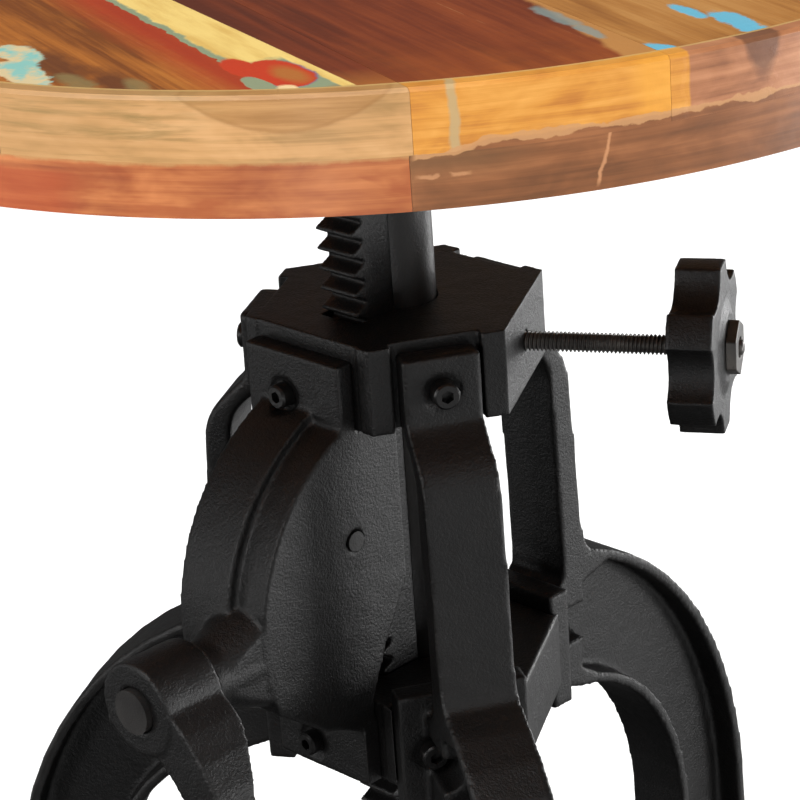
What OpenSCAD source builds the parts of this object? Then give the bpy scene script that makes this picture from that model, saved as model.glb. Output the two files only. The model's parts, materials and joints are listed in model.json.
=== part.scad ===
// Crank-lift pedestal table: a round plank top on a rack column, which a worm and
// pinion raise through two cast hubs carried by three cast legs.
// The origin is on the floor, on the column's axis. +X points along the clamp screw.

/* [Table top] */
// Diameter of the round top
top_d = 600; // [580:5:620]
// Thickness of the planks
plank_t = 26; // [24:1:28]
// Thickness of the edge boards and battens under the planks
edge_t = 22; // [20:1:24]
// Direction of the planks, in degrees from +X
plank_angle = -49; // [-60:1:-40]

/* [Lift] */
// Height of the underside of the top above the upper hub
top_gap = 142; // [140:1:160]
// Outer diameter of the column
column_d = 38; // [37:0.5:38]
// Length of the column below the top
column_len = 606; // [600:1:606]

/* [Base] */
// Height of the upper hub's top face above the floor
hub_top = 686; // [684:1:688]
// Height of each hub
hub_h = 43; // [42:0.5:43]
// Width of a leg's flanges
leg_w = 38; // [34:1:38]
// Radius of the leg's bulge at knee height
knee_r = 234; // [230:1:240]
// Radius at the tip of the foot
foot_r = 288; // [280:1:292]

/* [Clamp] */
// Diameter across the lobes of the clamp knob
knob_d = 85; // [80:1:92]

/* [Crank] */
// Throw of the crank, from shaft to grip
crank_throw = 118; // [110:1:122]

/* [Hidden] */
$fn = 48;

// Running gap between sliding faces, and the gap between faces that only meet
slide_gap = 0.3;
seat_gap = 0.05;

// Directions round the column, in degrees from +X
leg_angles = [-60, 60, 180];
housing_angle = -120;

// Table top
top_r = top_d / 2;
under_z = hub_top + top_gap;
plank_z = under_z + edge_t;
plank_seams = [-320, -245, -118, -20, 75, 165, 245, 320];
seam_gap = 0.15;
rim_round = 1.5;
edge_count = 6;
edge_start = -72.5;
edge_inner_r = 222;
batten_w = 90;
batten_offset = 80;
batten_len = 420;
batten_gap = 1;
batten_screw_reach = 180;
wood_screw_d = 4.5;
wood_screw_head_d = 9;
batten_screw_len = 30;
plate_screw_len = 24;

// Column and mounting plate
plate_d = 220;
plate_t = 6;
plate_collar_d = 62;
plate_collar_h = 12;
plate_screw_circle = 180;
plate_screw_count = 6;
tube_wall = 3.5;
column_r = column_d / 2;
column_top_z = under_z - plate_t;
column_low_z = under_z - column_len;
stop_d = 62;
stop_t = 6;
stop_screw_d = 8;

// Rack: teeth face the gear housing
rack_pitch = 10;
module_size = rack_pitch / PI;
pressure_angle = 25;
backlash = 0.35;
rack_w = 24;
rack_tip_r = 39.5;
rack_pitch_r = rack_tip_r - module_size;
tooth_root = 1.25 * module_size;
rack_root_r = rack_pitch_r - tooth_root;
rack_seat_r = 14;
rack_phase = 3.8;
rack_end_gap = 4;

// Rack pinion and its axle
pinion_teeth = 20;
pinion_r = pinion_teeth * module_size / 2;
axle_r = rack_pitch_r + pinion_r;
axle_z = hub_top - 98;
axle_d = 14;
axle_end_d = 10;
pinion_s0 = -11.5;
pinion_s1 = -1.2;

// Worm drive: the wheel sits beside the pinion, clear of the rack
worm_module = 3.15;
wheel_teeth = 20;
wheel_r = wheel_teeth * worm_module / 2;
wheel_tip = 2.5;
wheel_root = 3.4;
wheel_s0 = 13.4;
wheel_s1 = 23.4;
wheel_lean = 1.2;
worm_r = 10.8;
worm_tip_r = 13;
worm_root_r = 7.6;
worm_lead = worm_module * PI;
worm_s = 12.5;
worm_z = axle_z - wheel_r - worm_r;
worm_len = 40;
worm_steps = 16;
tooth_thin = 1.6;
shaft_d = 22;
journal_d = 16;
shaft_out_r = 200;
collar_d = 25;

// Hubs
hub_drop = 187;
face_r = 63;
leg_face_r = 68;
pillar_cut_r = 77;
pocket_r = 62;
pocket_w = 44;
low_pocket_w = 68;
hub_bore_r = column_r + slide_gap;
low_top = hub_top - hub_drop;

// Leg pads
pad_front_r = 76;
pad_back_r = pocket_r + seat_gap;
leg_back_r = pad_back_r + 0.4;
pad_top = hub_top - 5;
pad_low = hub_top - 41;
low_pad_w = 66;
low_pad_top = hub_top - 178;
low_pad_low = hub_top - 243;
bolt_d = 8;
bolt_head_d = 13;
bolt_head_h = 8;
spot_d = 19;
spot_depth = 1.5;
low_bolt_s = 17;
low_bolt_z = hub_top - 210;
web_t = 7;
rim_t = 6;
glide_h = 5;
glide_d = 34;

// Gear housing
case_center_r = 29;
case_center_z = hub_top - 133;
case_r = 107;
cheek_r = 102;
case_wall = 5;
case_s0 = -24;
case_s1 = 10;
cheek_s1 = 30;
boss_r = 17.4;
boss_end_r = 160;
case_pad_r = face_r - 1;
case_pad_w = 66;
case_pad_front = 72;
case_bolt_s = -8;
case_pad_bolt_z = hub_top - 30;
case_foot_bolt_z = hub_top - 217;
case_bolt_head_d = 12;
case_bolt_head_h = 7;
rack_clear_r = rack_tip_r + 1.5;
axle_bush_d = 20;
crank_bush_d = 22;
bush_fit = 0.05;

// Crank
crank_hub_d = 46;
crank_x0 = boss_end_r + 3;
crank_x1 = shaft_out_r - 3;
arm_t = 18;
arm_deep = 22;
arm_root_w = 30;
arm_tip_w = 19;
arm_angle = -58;
lug_angle = 210;
lug_d = 11;
lug_x = crank_x1 - 9;
set_screw_d = 6;
tip_boss_d = 32;
spindle_d = 10;
grip_len = 84;

// Clamp
clamp_z = hub_top - hub_h / 2;
screw_d = 10;
knob_back_r = 138;
knob_t = 22;
knob_lobes = 6;
nut_w = 28;
nut_t = 5;

// ---------- small helpers ----------

// Turns a piece drawn along +X to a direction round the column
module polar(angle) rotate([0, 0, angle]) children();

// Extrudes a (radius, height) outline sideways, from s0 to s1 along the tangent
module slab(s0, s1) translate([0, s1, 0]) rotate([90, 0, 0]) linear_extrude(s1 - s0) children();

// A round bar along +X from x0 to x1
module bar_x(d, x0, x1) translate([x0, 0, 0]) rotate([0, 90, 0]) cylinder(d = d, h = x1 - x0);

// A round bar along the tangent from s0 to s1
module bar_y(d, s0, s1) translate([0, s0, 0]) rotate([-90, 0, 0]) cylinder(d = d, h = s1 - s0);

// A socket-head bolt along +X: the shank ends at x0, the head sits on the face at x1
module cap_bolt_x(x0, x1, d, head_d, head_h) {
  difference() {
    union() {
      bar_x(d, x0, x1 + 0.5);
      bar_x(head_d, x1, x1 + head_h - 1);
      translate([x1 + head_h - 1, 0, 0]) rotate([0, 90, 0]) cylinder(d1 = head_d, d2 = head_d - 2, h = 1);
    }
    translate([x1 + head_h / 2, 0, 0]) rotate([0, 90, 0]) cylinder(d = head_d / 2, h = head_h, $fn = 6);
  }
}

// A point on a cubic Bezier curve, and the curve as steps + 1 points
function bezier(p, t) =
  pow(1 - t, 3) * p[0] + 3 * t * pow(1 - t, 2) * p[1] + 3 * t * t * (1 - t) * p[2] + t * t * t * p[3];
function curve(p, steps = 10) = [for (i = [0 : steps]) bezier(p, i / steps)];

// The same points moved sideways by d, to the left of the direction of travel
function unit(v) = v / norm(v);
function side_step(path, i, d) =
  let (a = path[max(i - 1, 0)], b = path[min(i + 1, len(path) - 1)], u = unit(b - a))
  path[i] + d * [-u[1], u[0]];
function shifted(path, d) = [for (i = [0 : len(path) - 1]) side_step(path, i, d)];
function reversed(path) = [for (i = [len(path) - 1 : -1 : 0]) path[i]];

// ---------- table top ----------

module plank(i) {
  low = plank_seams[i] + seam_gap / 2;
  high = plank_seams[i + 1] - seam_gap / 2;
  difference() {
    intersection() {
      union() {
        translate([0, 0, plank_z]) cylinder(r = top_r, h = plank_t - rim_round, $fn = 180);
        translate([0, 0, plank_z + plank_t - rim_round])
          cylinder(r1 = top_r, r2 = top_r - rim_round, h = rim_round, $fn = 180);
      }
      rotate([0, 0, plank_angle]) translate([-top_r - 1, low, plank_z])
        cube([2 * top_r + 2, high - low, plank_t]);
    }
    translate([0, 0, under_z]) batten_screw_places() wood_screw_hole(batten_screw_len);
  }
}

module edge_board(i) {
  span = 360 / edge_count;
  gap_angle = seam_gap / top_r * 90 / PI;
  a0 = edge_start + i * span + gap_angle;
  a1 = edge_start + (i + 1) * span - gap_angle;
  far = top_r * 1.3;
  intersection() {
    translate([0, 0, under_z]) difference() {
      cylinder(r = top_r, h = edge_t, $fn = 180);
      translate([0, 0, -1]) cylinder(r = edge_inner_r, h = edge_t + 2, $fn = 120);
    }
    translate([0, 0, under_z])
      linear_extrude(edge_t)
        polygon([[0, 0], far * [cos(a0), sin(a0)], far * [cos((a0 + a1) / 2), sin((a0 + a1) / 2)] * 1.2,
                 far * [cos(a1), sin(a1)]]);
  }
}

// Two battens across the planks carry the mounting plate
module battens() {
  color("peru") difference() {
    intersection() {
      rotate([0, 0, plank_angle + 90])
        for (side = [-1, 1])
          translate([-batten_len / 2, side * batten_offset - batten_w / 2, under_z])
            cube([batten_len, batten_w, edge_t]);
      translate([0, 0, under_z]) cylinder(r = edge_inner_r - batten_gap, h = edge_t, $fn = 120);
    }
    translate([0, 0, under_z]) batten_screw_places() wood_screw_hole(batten_screw_len);
    translate([0, 0, column_top_z]) plate_screw_places() wood_screw_hole(plate_screw_len);
  }
}

// A countersunk wood screw, head down at z = 0, and the hole that it fits
module wood_screw(length) {
  difference() {
    union() {
      cylinder(d1 = wood_screw_head_d, d2 = wood_screw_d, h = 2.5);
      cylinder(d = wood_screw_d, h = length - 5);
      translate([0, 0, length - 5]) cylinder(d1 = wood_screw_d, d2 = 1, h = 5);
    }
    for (a = [0, 90]) rotate([0, 0, a]) translate([-2.4, -0.5, -1]) cube([4.8, 1, 2.2]);
  }
}

module wood_screw_hole(length) {
  cylinder(d = wood_screw_d + 0.2, h = length + 1);
  translate([0, 0, -1]) cylinder(d = wood_screw_head_d + 0.4, h = 1);
  cylinder(d1 = wood_screw_head_d + 0.4, d2 = wood_screw_d + 0.2, h = 2.5);
}

module batten_screw_places() {
  rotate([0, 0, plank_angle + 90])
    for (side = [-1, 1], along = [-1, 1], across = [-1, 1])
      translate([along * batten_screw_reach, side * batten_offset + across * batten_w / 4, 0]) children();
}

module plate_screw_places() {
  for (i = [0 : plate_screw_count - 1])
    rotate([0, 0, i * 360 / plate_screw_count + plank_angle])
      translate([plate_screw_circle / 2, 0, 0]) children();
}

// ---------- column ----------

module mounting_plate() {
  collar_z = column_top_z - plate_collar_h;
  color("dimgray") difference() {
    union() {
      translate([0, 0, column_top_z]) cylinder(d = plate_d, h = plate_t - seat_gap, $fn = 96);
      translate([0, 0, collar_z])
        cylinder(d1 = plate_collar_d, d2 = plate_collar_d + 12, h = plate_collar_h);
      polar(housing_angle) slab(-rack_w / 2 - 6, rack_w / 2 + 6)
        polygon([[0, column_top_z], [52, column_top_z], [47, collar_z], [0, collar_z]]);
    }
    translate([0, 0, collar_z - 1]) cylinder(r = column_r + seat_gap, h = plate_collar_h + 1);
    polar(housing_angle)
      translate([0, -rack_w / 2 - seat_gap, collar_z - 1])
        cube([rack_tip_r + seat_gap, rack_w + 2 * seat_gap, plate_collar_h + 1]);
    translate([0, 0, column_top_z]) plate_screw_places() wood_screw_hole(plate_t);
  }
}

module column_tube() {
  color("dimgray") difference() {
    translate([0, 0, column_low_z]) cylinder(r = column_r, h = column_len - plate_t - seat_gap);
    translate([0, 0, column_low_z - 1]) cylinder(r = column_r - tube_wall, h = column_len - 20);
    polar(housing_angle)
      translate([rack_seat_r, -rack_w / 2 - seat_gap, column_low_z - 1])
        cube([column_r, rack_w + 2 * seat_gap, column_len + 2]);
  }
}

// One rack tooth as an outline of (radius, height), centred on height z
function tooth_half(r) = (rack_pitch / 2 - backlash) / 2 - (r - rack_pitch_r) * tan(pressure_angle);
function rack_tooth(z) =
  let (root = tooth_half(rack_root_r), tip = tooth_half(rack_tip_r))
  [[rack_root_r, z - root], [rack_tip_r, z - tip], [rack_tip_r, z + tip], [rack_root_r, z + root]];

module rack_bar() {
  z0 = column_low_z + rack_end_gap;
  z1 = column_top_z - seat_gap;
  first = ceil((z0 - hub_top - rack_phase) / rack_pitch + 0.5);
  last = floor((z1 - plate_collar_h - hub_top - rack_phase) / rack_pitch - 0.5);
  tooth_z = [for (k = [first : last]) hub_top + rack_phase + k * rack_pitch];
  color("dimgray") polar(housing_angle) slab(-rack_w / 2, rack_w / 2)
    polygon(concat([[rack_seat_r + seat_gap, z0], [rack_root_r, z0]], [for (z = tooth_z) each rack_tooth(z)],
                   [[rack_root_r, z1], [rack_seat_r + seat_gap, z1]]));
}

module column_stop() {
  plug_r = column_r - tube_wall - seat_gap;
  color("black") difference() {
    union() {
      translate([0, 0, column_low_z - stop_t - seat_gap]) cylinder(d = stop_d, h = stop_t, $fn = 64);
      intersection() {
        translate([0, 0, column_low_z - 1]) cylinder(r = plug_r, h = 26);
        polar(housing_angle) translate([-column_d, -column_d, column_low_z - 1])
          cube([column_d + rack_seat_r - seat_gap, 2 * column_d, 26]);
      }
    }
    translate([0, 0, column_low_z - stop_t - 1]) cylinder(d = stop_screw_d + 0.2, h = 40);
  }
}

module stop_screw() {
  color("gray") translate([0, 0, column_low_z - stop_t - seat_gap]) rotate([0, 90, 0])
    cap_bolt_x(-20, seat_gap, stop_screw_d, bolt_head_d, bolt_head_h);
}

// ---------- hubs ----------

// Hexagon with alternate leg faces and plain faces, its corners cut to narrow pillars
module hub_outline() {
  intersection() {
    for_faces(leg_angles, leg_face_r);
    for_faces([0, 120, 240], face_r);
    for_faces([30, 150, 270], pillar_cut_r);
    for_faces([90, 210, 330], pillar_cut_r);
  }
}

// The triangle whose three sides face the given directions at distance r
module for_faces(angles, r) {
  a = angles[0];
  rotate([0, 0, a]) polygon([[r, -r * sqrt(3)], [r, r * sqrt(3)], [-2 * r, 0]]);
}

module hub(top_z, leg_pocket_w, leg_pocket_low) {
  difference() {
    translate([0, 0, top_z - hub_h]) linear_extrude(hub_h) hub_outline();
    translate([0, 0, top_z - hub_h - 1]) cylinder(r = hub_bore_r, h = hub_h + 2);
    polar(housing_angle)
      translate([0, -rack_w / 2 - slide_gap, top_z - hub_h - 1])
        cube([rack_tip_r + slide_gap, rack_w + 2 * slide_gap, hub_h + 2]);
    for (a = leg_angles) polar(a)
      translate([pocket_r, -leg_pocket_w / 2, top_z - leg_pocket_low])
        cube([30, leg_pocket_w, leg_pocket_low + 1]);
  }
}

module bolt_hole_x(x0) bar_x(bolt_d + 0.2, x0, pad_front_r + 20);

module upper_hub() {
  color("#2b2a29") difference() {
    hub(hub_top, pocket_w, hub_h + 1);
    polar(0) translate([0, 0, clamp_z]) bar_x(screw_d + 0.16, column_r - 1, face_r + 5);
    for (a = leg_angles) polar(a) translate([0, 0, (pad_top + pad_low) / 2]) bolt_hole_x(42);
    polar(housing_angle) translate([0, case_bolt_s, case_pad_bolt_z]) bolt_hole_x(46);
    polar(housing_angle) translate([case_pad_r, -case_pad_w / 2 - 1, hub_top - hub_h - 1])
      cube([20, case_pad_w + 2, hub_h + 2]);
  }
}

module lower_hub() {
  color("#2b2a29") difference() {
    hub(low_top, low_pocket_w, hub_h + 1);
    for (a = leg_angles, s = [-1, 1]) polar(a) translate([0, s * low_bolt_s, low_bolt_z]) bolt_hole_x(44);
    polar(housing_angle) translate([0, case_bolt_s, case_foot_bolt_z]) bolt_hole_x(46);
    polar(housing_angle) translate([case_pad_r, -case_pad_w / 2 - 1, low_top - hub_h - 1])
      cube([20, case_pad_w + 2, hub_h + 2]);
  }
}

// ---------- legs ----------

// Heights below are measured from the upper hub's top face
shoulder = curve([[110, -172], [178, -195], [knee_r, -268], [knee_r, -379]], 12);
calf = curve([[knee_r, -379], [knee_r, -480], [198, -520], [206, -592]], 10);
instep = curve([[206, -592], [212, -640], [240, -658], [foot_r - 4, -664]], 8);
arch = curve([[97, -249], [146, -256], [179, -304], [179, -368]], 10);
shin = curve([[179, -368], [179, -460], [154, -520], [160, -592]], 10);
heel = curve([[160, -592], [166, -640], [196, -668], [236, -676]], 8);

function leg_front_edge() = concat(shoulder, [for (i = [1 : len(calf) - 1]) calf[i]],
                                   [for (i = [1 : len(instep) - 1]) instep[i]]);
function leg_back_edge() = concat(arch, [for (i = [1 : len(shin) - 1]) shin[i]],
                                  [for (i = [1 : len(heel) - 1]) heel[i]]);

// The strap from the upper pad down to the shoulder, bowed out from the column
bow_out = curve([[pad_front_r, -38], [84, -48], [100, -54], [100, -74]], 8);
bow_in = curve([[72, -48], [80, -54], [86, -58], [86, -74]], 8);

// One outline for the whole leg: upper pad, strap, shoulder, calf and foot, then back up inside
module leg_outline() {
  polygon(concat([[leg_back_r, -5], [pad_front_r, -5]], bow_out, [[104, -152], [106, -164]], leg_front_edge(),
                 [[foot_r, -668], [foot_r, glide_h - hub_top], [236, glide_h - hub_top]],
                 reversed(leg_back_edge()), [[80, -242], [leg_back_r, -242], [leg_back_r, -188]],
                 [[82, -188], [88, -182], [89, -172]], reversed(bow_in), [[leg_back_r, -41]]));
}

// The same outline less its rims, for the recess on each side of the web
module recess_outline() {
  front = shifted(leg_front_edge(), -rim_t);
  back = shifted(leg_back_edge(), rim_t);
  last = len(front) - 4;
  polygon(concat([[104, -196], [102, -190]], [for (i = [1 : last]) front[i]],
                 [for (i = [len(back) - 5 : -1 : 1]) back[i]], [[100, -238]]));
}

module leg() {
  half = leg_w / 2;
  difference() {
    union() {
      translate([0, 0, hub_top]) slab(-half, half) leg_outline();
      translate([pad_back_r, -low_pad_w / 2, low_pad_low])
        cube([pad_front_r - pad_back_r, low_pad_w, low_pad_top - low_pad_low]);
    }
    translate([0, 0, hub_top]) {
      slab(web_t / 2, half + 1) recess_outline();
      slab(-half - 1, -web_t / 2) recess_outline();
    }
    translate([0, 0, (pad_top + pad_low) / 2]) {
      bar_x(bolt_d + 0.6, pad_back_r - 5, pad_front_r + 5);
      bar_x(spot_d, pad_front_r - spot_depth, pad_front_r + 12);
    }
    for (s = [-1, 1]) translate([0, s * low_bolt_s, low_bolt_z]) {
      bar_x(bolt_d + 0.6, pad_back_r - 5, pad_front_r + 5);
      bar_x(spot_d, pad_front_r - spot_depth, pad_front_r + 40);
    }
    translate([(foot_r + 236) / 2, 0, 0]) cylinder(d = 8.2, h = 18);
  }
}

module leg_bolt_at(s, z) {
  translate([0, s, z]) cap_bolt_x(46, pad_front_r - spot_depth + seat_gap, bolt_d, bolt_head_d, bolt_head_h);
}

module upper_leg_bolts() {
  color("black") for (a = leg_angles) polar(a) leg_bolt_at(0, (pad_top + pad_low) / 2);
}

module lower_leg_bolts() {
  color("black") for (a = leg_angles, s = [-1, 1]) polar(a) leg_bolt_at(s * low_bolt_s, low_bolt_z);
}

module foot_glides() {
  color("black") for (a = leg_angles) polar(a) translate([(foot_r + 236) / 2, 0, 0]) {
    cylinder(d1 = glide_d - 4, d2 = glide_d, h = 2);
    translate([0, 0, 2]) cylinder(d = glide_d, h = glide_h - 2 - seat_gap);
    cylinder(d = 8, h = 16);
  }
}

// ---------- gear housing ----------

// Outline of the housing in (radius, height): a round back closed by a straight mouth
module case_outline(r, inset) {
  intersection() {
    translate([case_center_r, case_center_z]) circle(r = r, $fn = 120);
    translate([0, hub_top])
      polygon([[36, -43.5 - inset], [63.5 + inset, -43.5 - inset], [63.5 + inset, -20 - inset], [160, -20],
               [160, -150], [139 - inset, -158], [98 - inset, -188 + inset], [70, -200 + inset],
               [63.5, -200 + inset], [63.5, -185 + inset], [53, -160], [36, -130]]);
  }
}

module case_cavity() {
  intersection() {
    translate([case_center_r, case_center_z]) circle(r = cheek_r - case_wall - 2, $fn = 120);
    translate([0, hub_top])
      polygon([[20, -49], [72, -49], [76, -30], [150, -30], [150, -150], [96, -172], [50, -172], [20, -140]]);
  }
}

// The crank shaft's boss, flared where it leaves the case
module case_boss() {
  translate([0, worm_s, worm_z]) bar_x(2 * boss_r, 80, boss_end_r);
  intersection() {
    translate([124, worm_s, worm_z]) rotate([0, 90, 0]) cylinder(r1 = 27, r2 = boss_r - 0.5, h = 30);
    translate([100, case_s0 + 4, worm_z - 50]) cube([100, cheek_s1 - 0.6 - case_s0 - 4, 100]);
  }
}

module case_pad(z0, h) {
  translate([case_pad_r + seat_gap, -case_pad_w / 2, z0])
    cube([case_pad_front - case_pad_r - seat_gap, case_pad_w / 2 + cheek_s1, h]);
}

module case_bolt_hole(z) {
  translate([0, case_bolt_s, z]) {
    bar_x(bolt_d + 0.6, 50, case_pad_front + 5);
    bar_x(spot_d - 1, case_pad_front - spot_depth, case_pad_front + 60);
  }
}

module gear_housing() {
  color("#2b2a29") polar(housing_angle) difference() {
    union() {
      slab(case_s0, case_s1) case_outline(case_r, 0);
      slab(case_s0 + 2, cheek_s1) case_outline(cheek_r, 0);
      case_boss();
      case_pad(hub_top - 46, 38);
      case_pad(low_top - hub_h, hub_h - 8);
    }
    slab(case_s0 + case_wall, cheek_s1 - case_wall + 1) case_cavity();
    translate([0, -rack_w / 2 - slide_gap - 0.5, 0])
      cube([rack_clear_r, rack_w + 2 * slide_gap + 1, hub_top]);
    translate([axle_r, 0, axle_z]) {
      bar_y(axle_bush_d, case_s0 + 2, cheek_s1 - 2);
      bar_y(axle_end_d + 2 * bush_fit, case_s0 - 5, cheek_s1 + 5);
    }
    translate([0, worm_s, worm_z]) bar_x(crank_bush_d, 60, boss_end_r + 5);
    case_bolt_hole(case_pad_bolt_z);
    case_bolt_hole(case_foot_bolt_z);
  }
}

module housing_bolts() {
  color("black") polar(housing_angle)
    for (z = [case_pad_bolt_z, case_foot_bolt_z]) translate([0, case_bolt_s, z])
      cap_bolt_x(48, case_pad_front - spot_depth + seat_gap, bolt_d, case_bolt_head_d, case_bolt_head_h);
}

// ---------- gears ----------

module axle_bushes() {
  color("goldenrod") polar(housing_angle) translate([axle_r, 0, axle_z])
    for (span = [[case_s0 + 2, case_s0 + case_wall + 4], [wheel_s1 + 0.6, cheek_s1 - 2]])
      difference() {
        bar_y(axle_bush_d - 0.1, span[0] + seat_gap, span[1] - seat_gap);
        bar_y(axle_d + 2 * bush_fit, span[0] - 1, span[1] + 1);
      }
}

// The axle runs in the bushes; its thinner ends show in the housing's cheeks
module pinion_axle() {
  color("silver") polar(housing_angle) translate([axle_r, 0, axle_z]) {
    bar_y(axle_d, case_s0 + 2 + seat_gap, cheek_s1 - 2 - seat_gap);
    bar_y(axle_end_d, case_s0 - 1, cheek_s1 + 0.8);
  }
}

// Involute tooth flank: points from the base circle to the tip, for a gear of radius r
function involute(base, roll) =
  let (arc = roll * PI / 180) base * [cos(roll) + arc * sin(roll), sin(roll) - arc * cos(roll)];
function roll_at(base, r) = sqrt(pow(r / base, 2) - 1) * 180 / PI;
function tooth_flank(r, tip, base, half_angle) =
  let (end = roll_at(base, tip), p = involute(base, roll_at(base, r)), lean = atan2(p[1], p[0]) + half_angle)
  [for (i = [0 : 5])
    let (q = involute(base, end * i / 5), a = lean - atan2(q[1], q[0])) norm(q) * [cos(a), sin(a)]];

module spur_outline(teeth, r, tip, root, thickness) {
  base = r * cos(pressure_angle);
  half_angle = thickness / 2 / r * 180 / PI;
  flank = tooth_flank(r, tip, base, half_angle);
  root_half = atan2(flank[0][1], flank[0][0]);
  polygon([for (k = [0 : teeth - 1]) let (turn = k * 360 / teeth)
    each [for (p = concat([[root * cos(-root_half), root * sin(-root_half)]],
                          [for (q = flank) [q[0], -q[1]]], reversed(flank),
                          [[root * cos(root_half), root * sin(root_half)]]))
      [p[0] * cos(turn) - p[1] * sin(turn), p[0] * sin(turn) + p[1] * cos(turn)]]]);
}

// A gap of the pinion faces the rack tooth next to the axle's height
module rack_pinion() {
  near = round((axle_z - hub_top - rack_phase) / rack_pitch) * rack_pitch + rack_phase - (axle_z - hub_top);
  turn = 180 - near / pinion_r * 180 / PI + 180 / pinion_teeth;
  color("gray") polar(housing_angle) translate([axle_r, 0, axle_z]) difference() {
    slab(pinion_s0, pinion_s1) rotate(turn)
      spur_outline(pinion_teeth, pinion_r, pinion_r + module_size, pinion_r - tooth_root,
                   rack_pitch / 2 - backlash);
    bar_y(axle_d + 0.02, pinion_s0 - 1, pinion_s1 + 1);
  }
}

// The wheel's lowest tooth sits in the worm's middle groove. It leans a little because the
// wheel stands to one side of the worm's centre line. A sleeve spaces it from the pinion.
module worm_wheel() {
  color("goldenrod") polar(housing_angle) translate([axle_r, 0, axle_z]) difference() {
    union() {
      slab(wheel_s0, wheel_s1) rotate(-90 - wheel_lean)
        spur_outline(wheel_teeth, wheel_r, wheel_r + wheel_tip, wheel_r - wheel_root,
                     worm_lead / 2 - tooth_thin);
      bar_y(axle_d + 10, pinion_s1 + 0.4, wheel_s0 + 1);
    }
    bar_y(axle_d + 0.02, pinion_s1, wheel_s1 + 1);
  }
}

// Cross-section of a one-start worm: its radius round the circle follows the thread's profile
thread_flat = 0.10;
thread_flank = 0.14;
function worm_profile(u) =
  let (d = abs(u - 0.5), drop = (worm_tip_r - worm_root_r) * (d - thread_flat) / thread_flank)
  d < thread_flat ? worm_tip_r : d < thread_flat + thread_flank ? worm_tip_r - drop : worm_root_r;

module worm_shaft() {
  turns = worm_len / worm_lead;
  color("silver") polar(housing_angle) translate([0, worm_s, worm_z]) {
    translate([axle_r - worm_len / 2, 0, 0]) rotate([0, 90, 0])
      linear_extrude(worm_len, twist = -360 * turns, slices = round(turns * worm_steps))
        rotate(-360 * turns / 2)
          polygon([for (i = [0 : worm_steps - 1]) let (a = i * 360 / worm_steps)
            worm_profile(i / worm_steps) * [cos(a + 180), sin(a + 180)]]);
    bar_x(journal_d, axle_r - worm_len / 2 - 4, boss_end_r + 2);
    bar_x(shaft_d, boss_end_r + 1.5, shaft_out_r);
  }
}

module crank_bushes() {
  color("goldenrod") polar(housing_angle) translate([0, worm_s, worm_z])
    for (span = [[125, 140], [boss_end_r - 15, boss_end_r - 1]])
      difference() {
        bar_x(crank_bush_d - 0.1, span[0], span[1]);
        bar_x(journal_d + 2 * bush_fit, span[0] - 1, span[1] + 1);
      }
}

// Split ring that keeps the shaft from drifting inwards
module shaft_collar() {
  color("gray") polar(housing_angle) translate([0, worm_s, worm_z]) difference() {
    bar_x(collar_d, 111, 118);
    bar_x(journal_d + 0.04, 110, 119);
  }
}

// ---------- crank ----------

// Centre line of the arm, seen along the shaft: tangent across, height up
arm_tip = crank_throw * [cos(arm_angle), sin(arm_angle)];
arm_line = curve([[0, 0], [36, -14], [48, -46], arm_tip], 8);
function arm_half(i) = (arm_root_w + (arm_tip_w - arm_root_w) * i / (len(arm_line) - 1)) / 2;

module in_crank_frame() polar(housing_angle) translate([0, worm_s, worm_z]) children();
module across(x0, x1) translate([x0, 0, 0]) rotate([90, 0, 90]) linear_extrude(x1 - x0) children();

module arm_outline(inset) {
  left = [for (i = [0 : len(arm_line) - 1]) side_step(arm_line, i, arm_half(i) - inset)];
  right = [for (i = [0 : len(arm_line) - 1]) side_step(arm_line, i, inset - arm_half(i))];
  polygon(concat(left, reversed(right)));
}

// The arm's front is flush with its hub; its back slopes from the hub's back to the arm's thickness
module arm_side() {
  polygon([[crank_x1 - 0.6, 14], [crank_x0 + 0.6, 14], [crank_x0 + 0.6, -8], [crank_x1 - arm_deep, -36],
           [crank_x1 - arm_t, -84], [crank_x1 - arm_t, -130], [crank_x1 - 0.6, -130]]);
}

// A direction across the shaft, where the hub's set screw points
module to_lug() translate([lug_x, 0, 0]) rotate([lug_angle - 90, 0, 0]) children();

module crank_arm() {
  color("#2b2a29") in_crank_frame() difference() {
    union() {
      bar_x(crank_hub_d, crank_x0, crank_x1);
      intersection() {
        across(crank_x0, crank_x1) arm_outline(0);
        slab(-20, 120) arm_side();
      }
      translate([0, arm_tip[0], arm_tip[1]]) bar_x(tip_boss_d, crank_x1 - arm_t - 1, crank_x1 + 4);
      to_lug() translate([0, 0, shaft_d / 2 + 6]) cylinder(d = lug_d, h = 13);
    }
    bar_x(shaft_d + 0.04, crank_x0 - 2, crank_x1 + 5);
    translate([0, arm_tip[0], arm_tip[1]]) bar_x(spindle_d + 0.04, crank_x1 - arm_t - 5, crank_x1 + 10);
    to_lug() translate([0, 0, shaft_d / 2 - 2]) cylinder(d = set_screw_d + 0.2, h = 30);
  }
}

module crank_set_screw() {
  color("black") in_crank_frame() to_lug() translate([0, 0, shaft_d / 2 + 0.2]) difference() {
    cylinder(d = set_screw_d, h = 19.6);
    translate([0, 0, 16]) cylinder(d = set_screw_d / 2, h = 5, $fn = 6);
  }
}

// Spindle riveted into the arm, with a head that keeps the grip on
module grip_spindle() {
  x0 = crank_x1 + 4.5;
  back = crank_x1 - arm_t - 1 - seat_gap;
  color("silver") in_crank_frame() translate([0, arm_tip[0], arm_tip[1]]) {
    bar_x(spindle_d, back - 3, x0 + grip_len + 1);
    bar_x(17, back - 5, back);
    translate([x0 + grip_len + 0.8, 0, 0]) rotate([0, 90, 0]) cylinder(d1 = 18, d2 = 10, h = 5);
  }
}

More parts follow.
